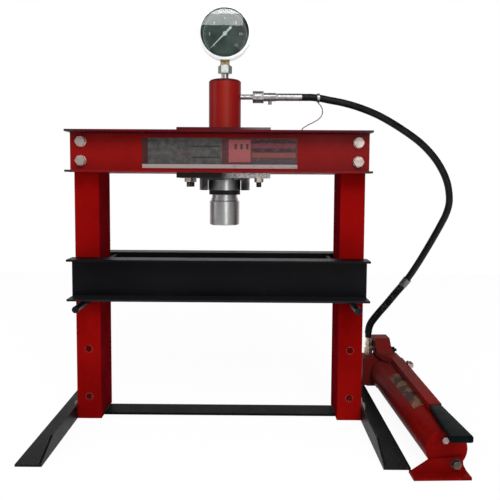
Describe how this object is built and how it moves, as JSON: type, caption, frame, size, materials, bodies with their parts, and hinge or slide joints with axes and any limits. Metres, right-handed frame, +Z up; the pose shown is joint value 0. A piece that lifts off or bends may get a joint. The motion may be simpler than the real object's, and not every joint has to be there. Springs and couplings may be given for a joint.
{
  "type": "hydraulic shop press",
  "caption": "H-frame hydraulic shop press: braced steel frame, height-adjustable bed on pins, vertical ram with gauge, and a hand pump joined by a hose.",
  "frame": {"origin": "centre of the base tie's underside, on the floor, midway between the columns", "axes": "+Z up along the ram, +X along the head towards the hand pump, -Y towards the operator"},
  "size_m": [1.021, 0.5902, 1.024],
  "materials": {
    "red_paint": "gloss red enamel",
    "black_paint": "satin black enamel",
    "grey_paint": "satin dark grey enamel",
    "zinc": "bright zinc plate",
    "yellow_zinc": "pale yellow zinc plate",
    "machined_steel": "turned steel",
    "dark_steel": "black oxide",
    "brass": "machined brass",
    "gauge_steel": "polished stainless",
    "lens": "clear lens",
    "dial": "dark grey-green printed dial",
    "needle": "pale pointer",
    "hose_rubber": "smooth black hose cover",
    "black_rubber": "black rubber",
    "grip_plastic": "black moulded grip",
    "knob_plastic": "black plastic",
    "tether": "dark red coated wire",
    "label": "printed sticker, plain bands"
  },
  "bodies": {
    "frame": {"left_column": "red_paint", "right_column": "red_paint", "front_head_channel": "red_paint", "rear_head_channel": "red_paint", "head_bolts": "zinc", "head_nuts": "zinc", "left_foot_rail": "grey_paint", "right_foot_rail": "grey_paint", "foot_bolts": "zinc", "foot_nuts": "zinc", "base_tie": "black_paint", "upper_ram_plate": "red_paint", "lower_ram_plate": "dark_steel", "ram_studs": "dark_steel", "ram_nuts": "zinc", "ram_lock_ring": "dark_steel", "ram_inner_ring": "machined_steel", "ram_cylinder": "red_paint", "ram_gland": "machined_steel", "ram_wiper": "black_rubber", "ram_spring": "machined_steel", "gauge_nipple": "machined_steel", "gauge_adapter": "zinc", "gauge_stem": "brass", "gauge_case": "gauge_steel", "gauge_bezel": "gauge_steel", "gauge_lens": "lens", "gauge_dial": "dial", "gauge_movement": "brass", "port_nipple": "zinc", "coupler_body": "zinc", "upper_ferrule": "zinc", "hydraulic_hose": "hose_rubber", "lower_ferrule": "yellow_zinc", "tether_band": "zinc", "cap_tether": "tether", "dust_plug": "black_rubber", "name_plate": "label", "pump_block": "red_paint", "pump_rear_foot": "red_paint", "pump_pivot_pin": "dark_steel", "pump_reservoir": "red_paint", "pump_end_cap": "red_paint", "pump_front_foot": "red_paint", "pump_foot_bolt": "zinc", "filler_plug": "zinc"},
    "ram": {"ram_rod": "machined_steel", "ram_piston": "machined_steel", "ram_nose": "machined_steel"},
    "needle": {"gauge_needle": "needle"},
    "collar": {"coupler_collar": "zinc"},
    "bed": {"front_bed_channel": "black_paint", "rear_bed_channel": "black_paint", "bed_spacers": "black_paint"},
    "left_pin": {"left_bed_pin": "dark_steel"},
    "right_pin": {"right_bed_pin": "dark_steel"},
    "lever": {"pump_lever": "red_paint", "lever_link_pin": "dark_steel", "lever_bolt": "zinc", "pump_grip": "grip_plastic"},
    "plunger": {"pump_plunger": "machined_steel"},
    "valve": {"release_valve": "knob_plastic"}
  },
  "joints": [
    {"name": "ram_slide", "type": "slide", "parent": "frame", "child": "ram", "axis": [0, 0, -1], "range_m": [0, 0.125], "stiffness_N_per_m": 900, "springref_m": -0.1, "deforming": ["ram_spring"]},
    {"name": "gauge_needle_turn", "type": "hinge", "parent": "frame", "child": "needle", "pos_m": [0.01, -0.009, 0.958], "axis": [0, 1, 0], "range_deg": [0, 270], "stiffness_Nm_per_rad": 0.002, "springref_deg": -34.38},
    {"name": "coupler_collar_turn", "type": "hinge", "parent": "frame", "child": "collar", "pos_m": [0.092, 0, 0.8045], "axis": [1, 0, 0], "continuous": true},
    {"name": "bed_lift", "type": "slide", "parent": "frame", "child": "bed", "axis": [0, 0, 1], "range_m": [0, 0.075]},
    {"name": "left_pin_pull", "type": "slide", "parent": "frame", "child": "left_pin", "axis": [0, -1, 0], "range_m": [0, 0.15]},
    {"name": "right_pin_pull", "type": "slide", "parent": "frame", "child": "right_pin", "axis": [0, -1, 0], "range_m": [0, 0.15]},
    {"name": "pump_lever_swing", "type": "hinge", "parent": "frame", "child": "lever", "pos_m": [0.463, 0.19, 0.125], "axis": [-0.9994, -0.0349, 0], "range_deg": [0, 60]},
    {"name": "pump_plunger_slide", "type": "slide", "parent": "frame", "child": "plunger", "axis": [0, 0, 1], "range_m": [0, 0.026]},
    {"name": "release_valve_turn", "type": "hinge", "parent": "frame", "child": "valve", "pos_m": [0.50946, 0.17761, 0.042], "axis": [0.9994, 0.0349, 0], "range_deg": [0, 270]}
  ],
  "couplings": [
    {"joint": "pump_plunger_slide", "follows": "pump_lever_swing", "m_per_rad": 0.024}
  ]
}
